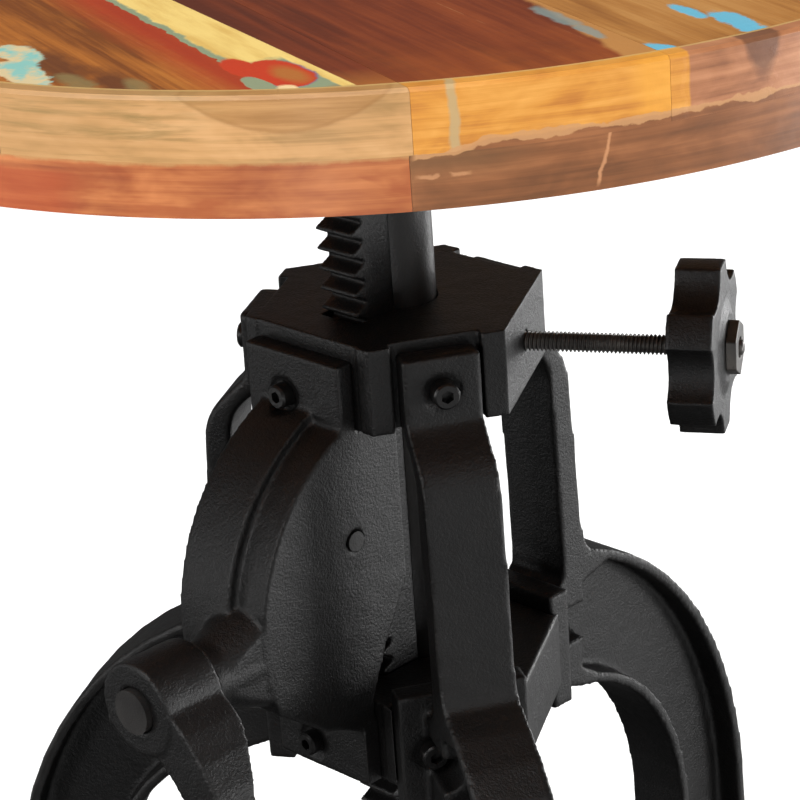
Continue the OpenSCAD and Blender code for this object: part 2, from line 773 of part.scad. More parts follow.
module crank_grip() {
  bore_r = spindle_d / 2 + 0.1;
  swell = curve([[10, 0], [17, grip_len * 0.2], [15, grip_len * 0.8], [9.5, grip_len - 0.6]], 12);
  color("#2b2a29") in_crank_frame() translate([crank_x1 + 5, arm_tip[0], arm_tip[1]]) rotate([0, 90, 0])
    rotate_extrude($fn = 64) polygon(concat([[bore_r, 0]], swell, [[bore_r, grip_len - 0.6]]));
}

// ---------- clamp ----------

module clamp_screw() {
  end = knob_back_r + knob_t + nut_t + 2 + seat_gap;
  color("dimgray") translate([0, 0, clamp_z]) {
    bar_x(6, column_r + 1.5, column_r + 6.5);
    bar_x(screw_d, column_r + 6, end);
    translate([end - 0.1, 0, 0]) rotate([0, 90, 0]) cylinder(d1 = screw_d, d2 = screw_d - 4, h = 2);
  }
}

// Six narrow lobes, one of them upright, and a raised seat for the nut
module star_knob() {
  notch_r = knob_d * 0.19;
  color("#2b2a29") translate([knob_back_r, 0, clamp_z]) difference() {
    union() {
      rotate([90, 0, 90]) linear_extrude(knob_t) difference() {
        circle(d = knob_d, $fn = 120);
        for (i = [0 : knob_lobes - 1]) rotate(i * 360 / knob_lobes)
          translate([knob_d / 2 + notch_r * 0.42, 0]) circle(r = notch_r, $fn = 48);
      }
      translate([knob_t - 0.1, 0, 0]) rotate([0, 90, 0]) cylinder(d1 = 46, d2 = 34, h = 2.1);
    }
    bar_x(screw_d + 0.04, -1, knob_t + 10);
  }
}

module knob_nut() {
  color("gray") translate([knob_back_r + knob_t + 2 + seat_gap, 0, clamp_z]) rotate([0, 90, 0]) difference() {
    cylinder(d = nut_w, h = nut_t, $fn = 6);
    translate([0, 0, -1]) cylinder(d = screw_d + 0.04, h = nut_t + 2);
  }
}

// Brass-faced shoe that the screw presses on the column
module pressure_shoe() {
  color("goldenrod") translate([0, 0, clamp_z]) difference() {
    bar_x(9.6, column_r + 0.2, column_r + 5.7);
    bar_x(6.1, column_r + 1.4, column_r + 8);
  }
}

// ---------- the nodes ----------

color("sienna") plank(0);  // plank_1
color("peru") plank(1);  // plank_2
color("saddlebrown") plank(2);  // plank_3
color("burlywood") plank(3);  // plank_4
color("chocolate") plank(4);  // plank_5
color("sienna") plank(5);  // plank_6
color("peru") plank(6);  // plank_7
color("saddlebrown") edge_board(0);  // edge_board_1
color("peru") edge_board(1);  // edge_board_2
color("chocolate") edge_board(2);  // edge_board_3
color("burlywood") edge_board(3);  // edge_board_4
color("sienna") edge_board(4);  // edge_board_5
color("chocolate") edge_board(5);  // edge_board_6
battens();
color("silver")  // batten_screws
  translate([0, 0, under_z - seat_gap]) batten_screw_places() wood_screw(batten_screw_len);
mounting_plate();
color("silver")  // plate_screws
  translate([0, 0, column_top_z - seat_gap]) plate_screw_places() wood_screw(plate_screw_len);
column_tube();
rack_bar();
column_stop();
stop_screw();
upper_hub();
lower_hub();
color("#2b2a29") polar(leg_angles[0]) leg();  // leg_front
color("#2b2a29") polar(leg_angles[1]) leg();  // leg_right
color("#2b2a29") polar(leg_angles[2]) leg();  // leg_left
upper_leg_bolts();
lower_leg_bolts();
foot_glides();
gear_housing();
housing_bolts();
axle_bushes();
pinion_axle();
rack_pinion();
worm_wheel();
crank_bushes();
worm_shaft();
shaft_collar();
crank_arm();
crank_set_screw();
grip_spindle();
crank_grip();
clamp_screw();
star_knob();
knob_nut();
pressure_shoe();
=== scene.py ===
"""Looks of the crank-lift table: worn reclaimed-wood top on a black cast-iron crank base."""
import json
import math

import bpy
import numpy as np
from mathutils import Matrix, Vector, noise

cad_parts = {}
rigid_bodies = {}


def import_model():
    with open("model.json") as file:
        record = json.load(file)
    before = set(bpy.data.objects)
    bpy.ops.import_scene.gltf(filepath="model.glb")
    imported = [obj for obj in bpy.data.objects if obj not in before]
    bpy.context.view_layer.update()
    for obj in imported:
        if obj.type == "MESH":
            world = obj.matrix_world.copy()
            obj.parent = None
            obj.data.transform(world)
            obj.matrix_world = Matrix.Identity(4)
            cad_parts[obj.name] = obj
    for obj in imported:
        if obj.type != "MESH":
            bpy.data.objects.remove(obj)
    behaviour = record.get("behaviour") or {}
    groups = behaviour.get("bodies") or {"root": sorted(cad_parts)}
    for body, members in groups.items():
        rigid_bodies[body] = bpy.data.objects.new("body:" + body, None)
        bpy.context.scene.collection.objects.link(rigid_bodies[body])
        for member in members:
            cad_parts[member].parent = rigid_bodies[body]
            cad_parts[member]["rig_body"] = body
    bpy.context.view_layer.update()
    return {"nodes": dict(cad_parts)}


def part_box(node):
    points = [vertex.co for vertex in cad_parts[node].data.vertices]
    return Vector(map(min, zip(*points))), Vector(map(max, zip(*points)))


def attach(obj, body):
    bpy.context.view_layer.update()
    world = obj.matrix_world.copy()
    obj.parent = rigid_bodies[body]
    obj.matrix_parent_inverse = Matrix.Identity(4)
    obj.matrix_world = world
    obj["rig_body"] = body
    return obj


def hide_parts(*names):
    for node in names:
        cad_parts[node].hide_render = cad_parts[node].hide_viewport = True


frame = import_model()
nodes = frame["nodes"]

# ---------------------------------------------------------------- camera, light and floor

HUB_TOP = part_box("upper_hub")[1].z
CAMERA_DISTANCE = 1.460
CAMERA_AZIMUTH = math.radians(-74.0)
CAMERA_ELEVATION = math.radians(20.0)
CAMERA_PITCH = math.radians(22.0)
CAMERA_ROLL = math.radians(4.0)
CAMERA_YAW = math.radians(-0.1)
LENS = 135.0

AIM_HEIGHT = 0.65
SUN_STRENGTH = 3.7
SUN_SPREAD = math.radians(50)
SUN_HEADING = (0.25, 0.35, -1.0)
FLOOR_HALF = 12.0
FLOOR_WHITE = 0.95

# Square lamps: where each stands, the length of its side and its power
LAMPS = {
    "key": ((-1.4, -1.6, 1.10), 0.35, 16),
    "front": ((1.2, -1.25, 1.55), 0.25, 5),
    "low": ((0.2, -2.5, 0.12), 0.5, 9),
    "fill": ((2.0, 0.2, 0.35), 0.6, 22),
    "back": ((1.4, 1.9, 0.50), 0.9, 30),
    "side": ((-2.1, -0.4, 0.25), 0.5, 4),
}


def make_camera():
    data = bpy.data.cameras.new("camera")
    data.lens = LENS
    data.sensor_width = 36.0
    data.clip_start, data.clip_end = 0.05, 60.0
    camera = bpy.data.objects.new("camera", data)
    bpy.context.scene.collection.objects.link(camera)
    out = Vector((math.cos(CAMERA_AZIMUTH), math.sin(CAMERA_AZIMUTH), 0.0))
    place = out * CAMERA_DISTANCE * math.cos(CAMERA_ELEVATION)
    place.z = HUB_TOP + CAMERA_DISTANCE * math.sin(CAMERA_ELEVATION)
    heading = math.atan2(-out.x, -out.y) + CAMERA_YAW
    ahead = Vector((math.sin(heading), math.cos(heading), 0.0)) * math.cos(CAMERA_PITCH)
    ahead.z = -math.sin(CAMERA_PITCH)
    level = Vector((math.cos(heading), -math.sin(heading), 0.0))
    upright = level.cross(ahead)
    right = math.cos(CAMERA_ROLL) * level - math.sin(CAMERA_ROLL) * upright
    up = math.sin(CAMERA_ROLL) * level + math.cos(CAMERA_ROLL) * upright
    turn = Matrix((right, up, -ahead)).transposed()
    camera.matrix_world = Matrix.Translation(place) @ turn.to_4x4()
    bpy.context.scene.camera = camera


def area_light(name, place, size, watts):
    data = bpy.data.lights.new(name, "AREA")
    data.shape = "SQUARE"
    data.size = size
    data.energy = watts
    lamp = bpy.data.objects.new(name, data)
    bpy.context.scene.collection.objects.link(lamp)
    lamp.location = place
    aim = Vector((0, 0, AIM_HEIGHT)) - Vector(place)
    lamp.rotation_euler = aim.to_track_quat("-Z", "Y").to_euler()


def make_backdrop():
    """A world whose light changes with height, and below the horizon from side to side as well."""
    world = bpy.data.worlds.new("studio")
    bpy.context.scene.world = world
    world.use_nodes = True
    tree = world.node_tree
    sky = tree.nodes["Background"]
    sky.inputs["Color"].default_value = (1, 1, 1, 1)
    heading = tree.nodes.new("ShaderNodeTexCoord")
    split = tree.nodes.new("ShaderNodeSeparateXYZ")
    tree.links.new(heading.outputs["Generated"], split.inputs[0])

    def spread(axis, low, high, greys):
        """Strength along one axis, from stops of (position between low and high, strength)."""
        reach = tree.nodes.new("ShaderNodeMapRange")
        reach.inputs["From Min"].default_value = low
        reach.inputs["From Max"].default_value = high
        fade = tree.nodes.new("ShaderNodeValToRGB")
        stops = fade.color_ramp.elements
        while len(stops) < len(greys):
            stops.new(0.5)
        for stop, (position, grey) in zip(stops, greys):
            stop.position = position
            stop.color = (grey, grey, grey, 1)
        tree.links.new(split.outputs[axis], reach.inputs["Value"])
        tree.links.new(reach.outputs["Result"], fade.inputs["Fac"])
        return fade.outputs["Color"]

    def combine(operation, a, b):
        made = tree.nodes.new("ShaderNodeMath")
        made.operation = operation
        tree.links.new(a, made.inputs[0])
        tree.links.new(b, made.inputs[1])
        return made.outputs[0]

    above = spread("Z", -0.1, 0.9, [(0.0, 0.0), (0.10, 0.20), (0.16, 0.26), (0.30, 0.09), (0.60, 0.10),
                                    (1.0, 0.22)])
    below = spread("Z", -1.0, 0.0, [(0.0, 0.15), (0.6, 1.0), (0.92, 0.85), (1.0, 0.0)])
    right = spread("X", -1.0, 1.0, [(0.0, 0.12), (0.30, 0.06), (0.55, 0.30), (0.80, 1.0), (1.0, 1.0)])
    lit = combine("MULTIPLY", below, right)
    tree.links.new(combine("ADD", above, lit), sky.inputs["Strength"])


def make_sun():
    data = bpy.data.lights.new("overhead", "SUN")
    data.energy = SUN_STRENGTH
    data.angle = SUN_SPREAD
    lamp = bpy.data.objects.new("overhead", data)
    bpy.context.scene.collection.objects.link(lamp)
    lamp.rotation_euler = Vector(SUN_HEADING).to_track_quat("-Z", "Y").to_euler()


def make_floor():
    """A plain white floor that the glossy iron doesn't mirror."""
    mesh = bpy.data.meshes.new("floor")
    half = FLOOR_HALF
    corners = [(-half, -half, 0), (half, -half, 0), (half, half, 0), (-half, half, 0)]
    mesh.from_pydata(corners, [], [(0, 1, 2, 3)])
    floor = bpy.data.objects.new("floor", mesh)
    bpy.context.scene.collection.objects.link(floor)
    pale = bpy.data.materials.new("floor")
    pale.use_nodes = True
    shader = pale.node_tree.nodes["Principled BSDF"]
    shader.inputs["Base Color"].default_value = (FLOOR_WHITE, FLOOR_WHITE, FLOOR_WHITE, 1)
    shader.inputs["Roughness"].default_value = 0.9
    shader.inputs["Specular IOR Level"].default_value = 0.0
    mesh.materials.append(pale)
    floor.visible_glossy = False


bpy.context.scene.view_settings.view_transform = "Standard"
make_camera()
make_backdrop()
make_sun()
for lamp_name, (lamp_place, lamp_size, lamp_watts) in LAMPS.items():
    area_light(lamp_name, lamp_place, lamp_size, lamp_watts)
make_floor()

# ---------------------------------------------------------------- material helpers


def tone(red, green, blue):
    """Linear light from the values a display would show."""
    return tuple(((c + 0.055) / 1.055) ** 2.4 for c in (red, green, blue))


def tones(colours):
    return [tone(*colour) for colour in colours]


class Shader:
    """A material's node tree, with short calls that each return an output socket."""

    def __init__(self, name):
        self.material = bpy.data.materials.new(name)
        self.material.use_nodes = True
        self.tree = self.material.node_tree
        self.principled = self.tree.nodes["Principled BSDF"]

    def node(self, kind, **settings):
        made = self.tree.nodes.new(kind)
        for key, value in settings.items():
            setattr(made, key, value)
        return made

    def feed(self, socket, value):
        """Links another socket's output, or sets a plain value."""
        if isinstance(value, bpy.types.NodeSocket):
            self.tree.links.new(value, socket)
        else:
            socket.default_value = value

    def set(self, name, value):
        self.feed(self.principled.inputs[name], value)

    def place(self):
        return self.node("ShaderNodeTexCoord").outputs["Object"]

    def mapping(self, vector, move=(0, 0, 0), turn=(0, 0, 0), scale=(1, 1, 1)):
        made = self.node("ShaderNodeMapping")
        self.feed(made.inputs["Vector"], vector)
        made.inputs["Location"].default_value = move
        made.inputs["Rotation"].default_value = turn
        made.inputs["Scale"].default_value = scale
        return made.outputs["Vector"]

    def noise(self, vector, scale, detail=4.0, rough=0.55, distortion=0.0):
        made = self.node("ShaderNodeTexNoise")
        self.feed(made.inputs["Vector"], vector)
        made.inputs["Scale"].default_value = scale
        made.inputs["Detail"].default_value = detail
        made.inputs["Roughness"].default_value = rough
        made.inputs["Distortion"].default_value = distortion
        return made.outputs["Fac"]

    def maths(self, operation, a, b=0.0):
        made = self.node("ShaderNodeMath", operation=operation)
        self.feed(made.inputs[0], a)
        self.feed(made.inputs[1], b)
        return made.outputs[0]

    def plus(self, a, b):
        return self.maths("ADD", a, b)

    def minus(self, a, b):
        return self.maths("SUBTRACT", a, b)

    def times(self, a, b):
        return self.maths("MULTIPLY", a, b)

    def most(self, a, b):
        return self.maths("MAXIMUM", a, b)

    def length(self, a, b):
        return self.maths("SQRT", self.plus(self.times(a, a), self.times(b, b)))

    def ramp(self, value, stops):
        """A colour that changes with the value, from stops of (position, colour)."""
        made = self.node("ShaderNodeValToRGB")
        elements = made.color_ramp.elements
        while len(elements) < len(stops):
            elements.new(0.5)
        for element, (position, colour) in zip(elements, stops):
            element.position = position
            element.color = (*colour, 1)
        self.feed(made.inputs["Fac"], value)
        return made.outputs["Color"]

    def step(self, value, low, high):
        """0 at low and 1 at high; low may be the greater, which turns the slope round."""
        made = self.node("ShaderNodeMapRange", clamp=True)
        self.feed(made.inputs["Value"], value)
        made.inputs["From Min"].default_value = low
        made.inputs["From Max"].default_value = high
        return made.outputs["Result"]

    def mix(self, factor, a, b):
        """Colour a where the factor is 0 and b where it is 1."""
        made = self.node("ShaderNodeMix", data_type="RGBA")
        self.feed(made.inputs["Factor"], factor)
        sockets = [socket for socket in made.inputs if socket.type == "RGBA"]
        for socket, value in zip(sockets, (a, b)):
            self.feed(socket, (*value, 1) if isinstance(value, tuple) else value)
        return next(socket for socket in made.outputs if socket.type == "RGBA")

    def axes(self, vector):
        made = self.node("ShaderNodeSeparateXYZ")
        self.feed(made.inputs[0], vector)
        return made.outputs

    def bump(self, height, strength, distance, below=None):
        """Relief from a height, on top of the relief below it."""
        made = self.node("ShaderNodeBump")
        made.inputs["Strength"].default_value = strength
        made.inputs["Distance"].default_value = distance
        self.feed(made.inputs["Height"], height)
        if below is not None:
            self.feed(made.inputs["Normal"], below)
        return made.outputs["Normal"]


BLACK_PAINT = (0.0022, 0.0021, 0.0022)
DUSTY_PAINT = (0.0048, 0.0044, 0.0042)
RUBBED_PAINT = (0.050, 0.046, 0.043)


def iron_material(name, grain=1.0, gloss=0.40, rub=0.5):
    """Satin black paint over a sand-cast skin: fine grain, soft lumps, dusty clouds and rubbed edges."""
    s = Shader(name)
    place = s.place()
    fine = s.noise(place, 1500, 2, 0.6)
    sand = s.noise(place, 720, 3, 0.6)
    lumps = s.noise(place, 70, 3, 0.5)
    cloud = s.noise(place, 14, 3, 0.5)
    edge = s.node("ShaderNodeNewGeometry").outputs["Pointiness"]
    rubbed = s.times(s.step(edge, 0.53, 0.62), s.step(cloud, 0.35, 0.65))
    base = s.mix(s.step(cloud, 0.3, 0.7), BLACK_PAINT, DUSTY_PAINT)
    base = s.mix(s.times(rubbed, rub), base, RUBBED_PAINT)
    s.set("Base Color", base)
    s.set("Metallic", 0.0)
    s.set("Specular IOR Level", 0.30)
    s.set("Roughness", s.plus(gloss - 0.10, s.times(sand, 0.24)))
    soft = s.bump(lumps, 0.30 * grain, 0.0012)
    coarse = s.bump(sand, 0.75 * grain, 0.00055, soft)
    s.set("Normal", s.bump(fine, 0.6 * grain, 0.00022, coarse))
    return s.material


def metal_material(name, clean, worn, gloss, metallic=1.0):
    """Machined or plated metal: fine tool lines, oily clouds and duller patches."""
    s = Shader(name)
    place = s.place()
    tool = s.noise(place, 260, 3, 0.6)
    cloud = s.noise(place, 45, 4, 0.6)
    specks = s.step(s.noise(place, 520, 3, 0.7), 0.62, 0.70)
    colour = s.mix(s.step(cloud, 0.38, 0.66), clean, worn)
    colour = s.mix(s.times(specks, 0.6), colour, tuple(0.35 * c for c in worn))
    s.set("Base Color", colour)
    s.set("Metallic", metallic)
    s.set("Roughness", s.plus(gloss, s.times(s.plus(cloud, tool), 0.16)))
    s.set("Normal", s.bump(tool, 0.25, 0.00010))
    return s.material


def plastic_material(name):
    """Dark moulded plastic with scuffs and a little dust."""
    s = Shader(name)
    place = s.place()
    scuffs = s.noise(s.mapping(place, scale=(900, 60, 200)), 1.0, 3, 0.6)
    dust = s.noise(place, 60, 3, 0.6)
    s.set("Base Color", s.mix(s.step(dust, 0.45, 0.75), (0.018, 0.018, 0.019), (0.055, 0.052, 0.048)))
    s.set("Specular IOR Level", 0.4)
    s.set("Roughness", s.plus(0.45, s.times(scuffs, 0.25)))
    s.set("Normal", s.bump(scuffs, 0.2, 0.00015))
    return s.material


# ---------------------------------------------------------------- reclaimed wood

BOARD_TURN = math.radians(49.0)
TOP_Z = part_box("plank_3")[1].z
JOINT_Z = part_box("plank_3")[0].z
TOP_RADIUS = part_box("edge_board_1")[1].x
LACQUER = 0.08


class Wood(Shader):
    """A board of the top: u runs along the planks and v across them, in metres from the column's axis."""

    def __init__(self, name, shift, turn=BOARD_TURN):
        super().__init__(name)
        self.shift = shift
        self.where = self.place()
        self.board = self.mapping(self.where, turn=(0, 0, turn))
        self.u, self.v, self.z = self.axes(self.board)
        x, y, _ = self.axes(self.where)
        self.radius = self.length(x, y)
        self.azimuth = self.times(self.maths("ARCTAN2", y, x), 180 / math.pi)
        self.wobble = self.noise(self.mapping(self.where, move=(shift, 0, 0)), 90, 4, 0.6)
        self.ragged = self.minus(self.wobble, 0.5)

    def streaks(self, along, across, detail=4.0, rough=0.6, distortion=0.0):
        """Noise drawn out along the board: along and across are its busyness each way."""
        move = (self.shift, 2 * self.shift, 0)
        stretched = self.mapping(self.board, move=move, scale=(along, across, across))
        return self.noise(stretched, 1.0, detail, rough, distortion)

    def rim_streaks(self, along, high, detail=4.0):
        """Noise drawn out level along the rim."""
        stretched = self.mapping(self.where, move=(0, 0, self.shift), scale=(along, along, high))
        return self.noise(stretched, 1.0, detail, 0.6, 0.4)

    def between(self, value, low, high, soft):
        """1 from low to high and 0 outside, with soft ends."""
        rise = self.step(value, low - soft, low + soft)
        fall = self.step(value, high + soft, high - soft)
        return self.times(rise, fall)

    def rough_edge(self, value, amount):
        """The value, shaken so that an edge drawn from it is ragged."""
        return self.plus(value, self.times(self.ragged, amount))

    def spot(self, centre_u, centre_v, half_u, half_v, soft=0.12, ragged=0.9):
        """A ragged ellipse on the top, full inside and empty outside."""
        du = self.times(self.minus(self.u, centre_u), 1 / half_u)
        dv = self.times(self.minus(self.v, centre_v), 1 / half_v)
        far = self.rough_edge(self.length(du, dv), ragged)
        return self.step(far, 1 + soft, 1 - soft)

    def arc(self, azimuth, half, depth):
        """How far an arc hangs below the top edge, given its middle and half its width in degrees."""
        away = self.times(self.minus(self.azimuth, azimuth), 1 / half)
        return self.times(self.minus(1.0, self.times(away, away)), depth)

    def both(self, first, *others):
        """Where every mask holds."""
        for other in others:
            first = self.times(first, other)
        return first

    def grain(self, dark, middle, light, contrast=1.0):
        """Colour of planed boards: broad bands, fibres and dark pores."""
        broad = self.streaks(4.5, 70, 3, 0.55, 0.6)
        fibre = self.streaks(16, 520, 3, 0.65)
        cloudy = self.mapping(self.board, move=(self.shift, 0, 0), scale=(9, 22, 22))
        cloud = self.noise(cloudy, 1.0, 3, 0.5)
        value = self.plus(self.times(broad, 0.55), self.times(cloud, 0.45))
        value = self.plus(value, self.times(self.minus(fibre, 0.5), 0.30 * contrast))
        spread = 0.14 / contrast
        colour = self.ramp(value, [(0.5 - spread, dark), (0.5, middle), (0.5 + spread, light)])
        pores = self.step(self.streaks(30, 1300, 2, 0.6), 0.66, 0.74)
        colour = self.mix(self.times(pores, 0.35), colour, tuple(0.45 * c for c in dark))
        return colour, fibre

    def rim_grain(self, dark, middle, light):
        """Colour of the sawn rim: long level streaks and soft patches."""
        long = self.rim_streaks(9, 330)
        patch = self.rim_streaks(32, 70, 3)
        value = self.plus(self.times(long, 0.5), self.times(patch, 0.5))
        return self.ramp(value, [(0.37, dark), (0.5, middle), (0.63, light)])

    def finish(self, colour, fibre, paint=None, coat=LACQUER):
        """Base colour, lacquer, and relief from fibres, pores, hand sanding and paint left in place."""
        dents = self.noise(self.where, 75, 3, 0.5)
        self.set("Base Color", colour)
        self.set("Specular IOR Level", 0.26)
        self.set("Coat Weight", coat)
        self.set("Coat Roughness", 0.26)
        self.set("Roughness", self.plus(0.36, self.times(self.wobble, 0.22)))
        relief = self.bump(dents, 0.22, 0.0012)
        relief = self.bump(fibre, 0.28, 0.00022, relief)
        if paint is not None:
            relief = self.bump(paint, 0.5, 0.00025, relief)
        self.set("Normal", relief)
        return self.material


def plank_material(name, shift, top, rim, decorate=None, decorate_rim=None):
    """A plank: its face, its share of the rim and the pale sanded arris between them."""
    s = Wood(name, shift)
    face, fibre = s.grain(*tones(top))
    scratches = s.both(s.step(s.streaks(3, 900, 2, 0.5), 0.70, 0.73), s.step(s.wobble, 0.45, 0.62))
    face = s.mix(s.times(scratches, 0.45), face, tone(0.80, 0.58, 0.38))
    paint = None
    if decorate:
        face, paint = decorate(s, face)
    side = s.rim_grain(*tones(rim))
    if decorate_rim:
        side = decorate_rim(s, side)
    on_rim = s.step(s.radius, TOP_RADIUS - 0.0022, TOP_RADIUS - 0.0016)
    colour = s.mix(on_rim, face, side)
    worn = s.rough_edge(s.radius, 0.0012)
    arris = s.both(s.between(worn, TOP_RADIUS - 0.0019, TOP_RADIUS - 0.0004, 0.0003),
                   s.step(s.z, TOP_Z - 0.0022, TOP_Z - 0.0012))
    colour = s.mix(s.times(arris, 0.75), colour, tone(0.74, 0.61, 0.38))
    return s.finish(colour, fibre, paint)


def decorate_second(s, face):
    """Old paint: a red band, its grey-green border, a cream field, a red blob, and pale blue flakes."""
    edge_v = s.minus(s.v, s.times(s.u, 0.038))
    ragged_v = s.rough_edge(s.v, 0.006)
    red = s.both(s.step(ragged_v, -0.184, -0.167), s.step(ragged_v, -0.1598, -0.1604))
    face = s.mix(s.times(red, 0.9), face, tone(0.62, 0.20, 0.09))
    next_board = s.step(edge_v, -0.1416, -0.1412)
    bands = s.step(s.streaks(5, 110, 3), 0.4, 0.6)
    reddish = s.mix(bands, tone(0.33, 0.14, 0.07), tone(0.44, 0.19, 0.085))
    reddish = s.mix(s.step(s.radius, 0.268, 0.296), reddish, tone(0.62, 0.37, 0.16))
    face = s.mix(next_board, face, reddish)
    inside = s.step(edge_v, -0.1414, -0.1418)
    border = s.both(s.step(ragged_v, -0.1606, -0.1600), inside, s.step(s.u, 0.262, 0.252))
    face = s.mix(border, face, tone(0.52, 0.56, 0.44))
    cream = s.both(s.step(s.rough_edge(s.v, 0.008), -0.1575, -0.1560), inside,
                   s.step(s.rough_edge(s.u, 0.012), 0.208, 0.202))
    tongue = s.both(s.step(s.rough_edge(edge_v, 0.003), -0.1468, -0.1458), inside,
                    s.step(s.u, 0.262, 0.256))
    cream = s.most(cream, tongue)
    stain = s.step(s.streaks(20, 150), 0.35, 0.60)
    face = s.mix(cream, face, s.mix(stain, tone(0.82, 0.67, 0.36), tone(0.89, 0.765, 0.45)))
    outline = s.both(s.spot(0.226, -0.1480, 0.0222, 0.0117, 0.05, 0.5), s.step(s.u, 0.208, 0.222))
    face = s.mix(outline, face, tone(0.48, 0.40, 0.48))
    blob = s.most(s.spot(0.226, -0.1480, 0.0212, 0.0108, 0.05, 0.5),
                  s.spot(0.209, -0.1570, 0.0150, 0.0060, 0.10, 0.6))
    face = s.mix(blob, face, tone(0.72, 0.22, 0.10))
    middle = s.spot(0.229, -0.1455, 0.0130, 0.0055, 0.35, 0.6)
    face = s.mix(s.times(middle, 0.8), face, tone(0.64, 0.42, 0.18))
    patch = s.spot(0.236, -0.1610, 0.0135, 0.0046, 0.06, 0.5)
    face = s.mix(patch, face, tone(0.53, 0.56, 0.44))
    light = s.spot(0.249, -0.1545, 0.0075, 0.0040, 0.15, 0.8)
    face = s.mix(light, face, tone(0.88, 0.76, 0.56))
    knots = s.most(s.spot(0.160, -0.2145, 0.036, 0.0075, 0.4, 1.5),
                   s.spot(0.198, -0.2040, 0.020, 0.0065, 0.4, 1.5))
    face = s.mix(s.times(knots, 0.8), face, tone(0.34, 0.18, 0.09))
    grey = s.most(s.spot(0.186, -0.2160, 0.016, 0.0050, 0.3, 1.6),
                  s.spot(0.205, -0.1985, 0.010, 0.0040, 0.3, 1.2))
    face = s.mix(s.times(grey, 0.7), face, tone(0.52, 0.45, 0.28))
    flakes = s.most(s.spot(0.160, -0.2290, 0.025, 0.0085, 0.08, 1.2),
                    s.spot(0.132, -0.2200, 0.018, 0.0080, 0.1, 1.3))
    flake_tone = s.mix(s.step(s.wobble, 0.42, 0.56), tone(0.52, 0.72, 0.68), tone(0.80, 0.72, 0.55))
    face = s.mix(flakes, face, flake_tone)
    paint = s.most(s.most(cream, blob), s.most(flakes, patch))
    return face, paint


def decorate_third(s, face):
    """A dark board that turns orange by the rim, with a tan edge and grey-blue specks beside it."""
    outer = s.step(s.rough_edge(s.radius, 0.05), 0.225, 0.300)
    warm = s.mix(s.step(s.streaks(6, 80), 0.35, 0.65), tone(0.48, 0.22, 0.08), tone(0.62, 0.32, 0.12))
    face = s.mix(s.times(outer, 0.8), face, warm)
    edge_v = s.plus(s.v, s.times(s.minus(s.u, 0.193), 0.12))
    edge = s.step(s.rough_edge(edge_v, 0.006), -0.024, -0.021)
    face = s.mix(s.times(edge, 0.9), face, tone(0.70, 0.49, 0.26))
    specks = s.most(s.spot(0.249, -0.0265, 0.011, 0.0030, 0.2, 1.6),
                    s.spot(0.222, -0.0260, 0.018, 0.0030, 0.3, 2.0))
    face = s.mix(s.times(specks, 0.75), face, tone(0.48, 0.54, 0.52))
    return face, specks


def decorate_fourth(s, face):
    """Sky-blue paint left in flecks near the rim."""
    flecks = s.most(s.spot(0.292, -0.0185, 0.0125, 0.0060, 0.1, 0.8),
                    s.spot(0.277, 0.0255, 0.020, 0.0060, 0.12, 1.6))
    flecks = s.most(flecks, s.spot(0.250, 0.0185, 0.013, 0.0032, 0.2, 1.6))
    flecks = s.most(flecks, s.spot(0.215, 0.036, 0.018, 0.0040, 0.2, 1.8))
    face = s.mix(s.times(flecks, 0.92), face, tone(0.36, 0.68, 0.78))
    return face, flecks


def rim_second(s, side):
    """Pale sapwood with olive streaks, and a darker lens where the saw met an older face."""
    below = s.minus(TOP_Z, s.z)
    gap = s.minus(s.arc(-81.2, 7.8, 0.0145), s.rough_edge(below, 0.0022))
    lens = s.step(gap, -0.0004, 0.0008)
    rings = s.step(s.rim_streaks(14, 240), 0.40, 0.62)
    inner = s.mix(rings, tone(0.58, 0.40, 0.20), tone(0.70, 0.52, 0.31))
    side = s.mix(s.times(lens, 0.75), side, inner)
    line = s.between(gap, -0.0004, 0.0010, 0.0007)
    side = s.mix(s.times(line, 0.4), side, tone(0.54, 0.37, 0.18))
    shade = s.times(s.step(s.azimuth, -84, -98), 0.45)
    side = s.mix(shade, side, tone(0.60, 0.45, 0.27))
    stain = s.both(s.step(s.rim_streaks(16, 200), 0.50, 0.64), s.step(s.azimuth, -84, -91))
    return s.mix(s.times(stain, 0.75), side, tone(0.52, 0.42, 0.24))


def low_line(s):
    """Height where the lower board's brown begins: it climbs a little right of the joint."""
    climb = s.step(s.azimuth, -69.2, -66.6)
    return s.plus(JOINT_Z - 0.0006, s.times(climb, 0.0042))


def under_line(s, side, board):
    """The lower board's colour below a ragged line near the joint, with pale filler along the line."""
    height = s.minus(s.rough_edge(s.z, 0.0045), low_line(s))
    below = s.step(height, 0.0004, -0.0004)
    side = s.mix(below, side, board)
    lumps = s.step(s.rim_streaks(60, 60, 2), 0.46, 0.64)
    lump = s.plus(0.0006, s.times(lumps, 0.0015))
    near = s.minus(lump, s.maths("ABSOLUTE", height))
    here = s.both(s.step(near, -0.0002, 0.0003), s.step(s.azimuth, -72.4, -72.0))
    return s.mix(s.times(here, 0.85), side, tone(0.72, 0.53, 0.35))


def rim_third(s, side):
    """Darker smears above the joint, a golden stretch, and a strip of grey filler between two pieces."""
    burn = s.both(s.step(s.rim_streaks(30, 120), 0.50, 0.64), s.step(s.z, JOINT_Z + 0.012, JOINT_Z + 0.002))
    side = s.mix(s.times(burn, 0.6), side, tone(0.60, 0.34, 0.15))
    glow = s.between(s.azimuth, -55.5, -51.0, 0.8)
    side = s.mix(s.times(glow, 0.5), side, tone(0.88, 0.62, 0.22))
    filler = s.between(s.rough_edge(s.azimuth, 0.9), -69.5, -68.8, 0.12)
    side = s.mix(s.times(filler, 0.9), side, tone(0.68, 0.58, 0.41))
    return under_line(s, side, s.rim_grain(*tones(BROWN_EDGE)))


